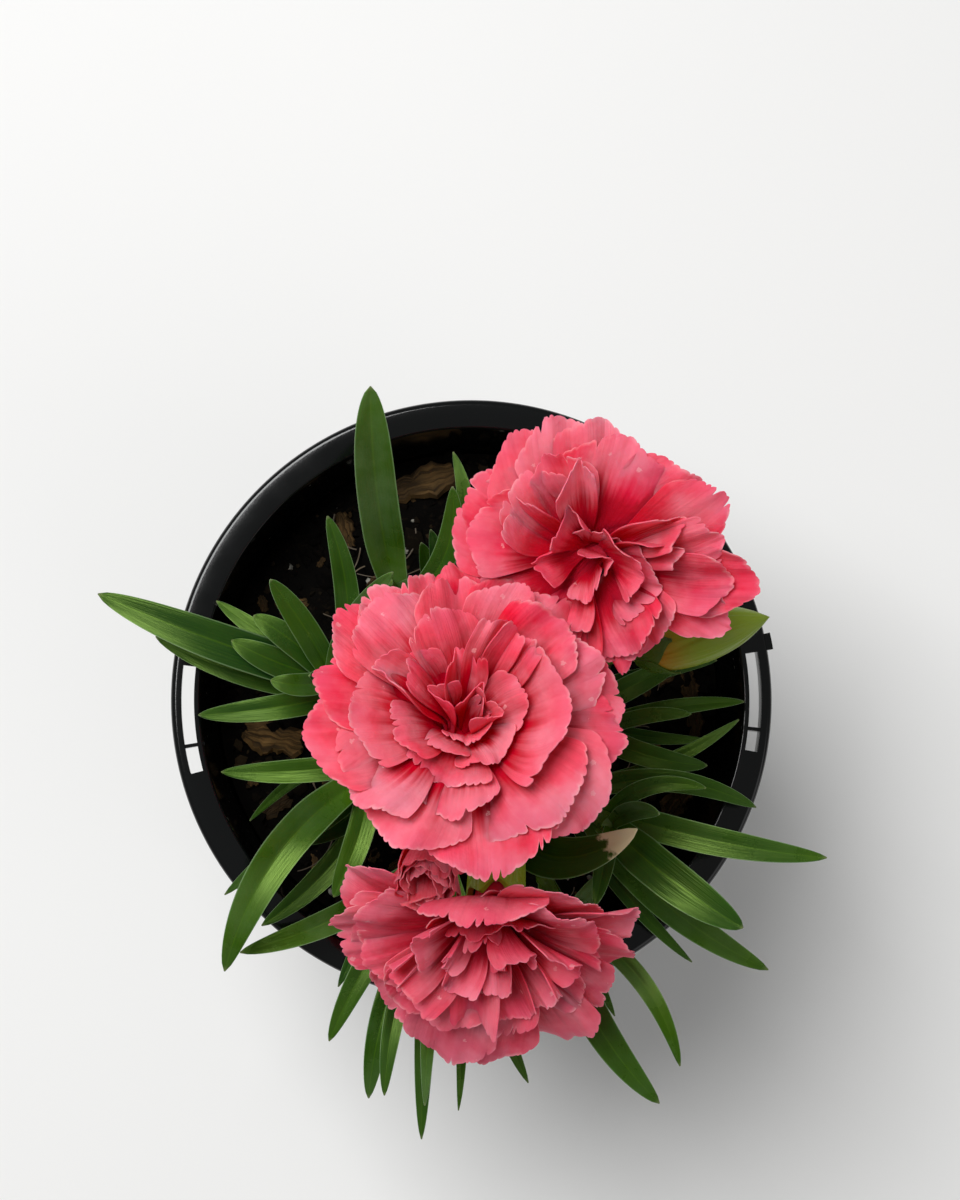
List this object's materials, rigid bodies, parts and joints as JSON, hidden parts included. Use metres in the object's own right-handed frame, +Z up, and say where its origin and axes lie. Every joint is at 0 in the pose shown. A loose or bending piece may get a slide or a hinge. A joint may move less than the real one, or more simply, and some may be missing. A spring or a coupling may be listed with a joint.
{
  "type": "dianthus plant in a nursery pot",
  "caption": "Dwarf double dianthus with frilled coral-pink blooms, buds and strap leaves, rooted in a tapered black nursery pot with a wide slotted rim.",
  "frame": {"origin": "centre of the pot's flat underside", "axes": "+Z up along the pot's axis; +X towards the grip slot on the closed bud's side; -Y towards the side over which the lowest bloom leans"},
  "size_m": [0.1633, 0.1701, 0.2191],
  "materials": {
    "pot_plastic": "satin",
    "potting_mix": "matte",
    "leaf_green": "satin",
    "stem_green": "satin",
    "petal_pink": "matte",
    "bud_pink": "matte"
  },
  "bodies": {
    "root": {"nursery_pot": "pot_plastic", "potting_mix": "potting_mix", "leafy_shoot_left": "leaf_green", "leafy_shoot_back": "leaf_green", "leafy_shoot_right": "leaf_green", "leafy_shoot_front_right": "leaf_green", "leafy_shoot_front": "leaf_green", "leafy_shoot_front_left": "leaf_green", "leafy_shoot_front_middle": "leaf_green", "flower_stem_centre": "stem_green", "flower_stem_back_right": "stem_green", "flower_stem_front": "stem_green", "bud_stem": "stem_green", "bloom_centre": "petal_pink", "bloom_back_right": "petal_pink", "bloom_front": "petal_pink", "opening_bud_petals": "bud_pink"}
  },
  "joints": []
}
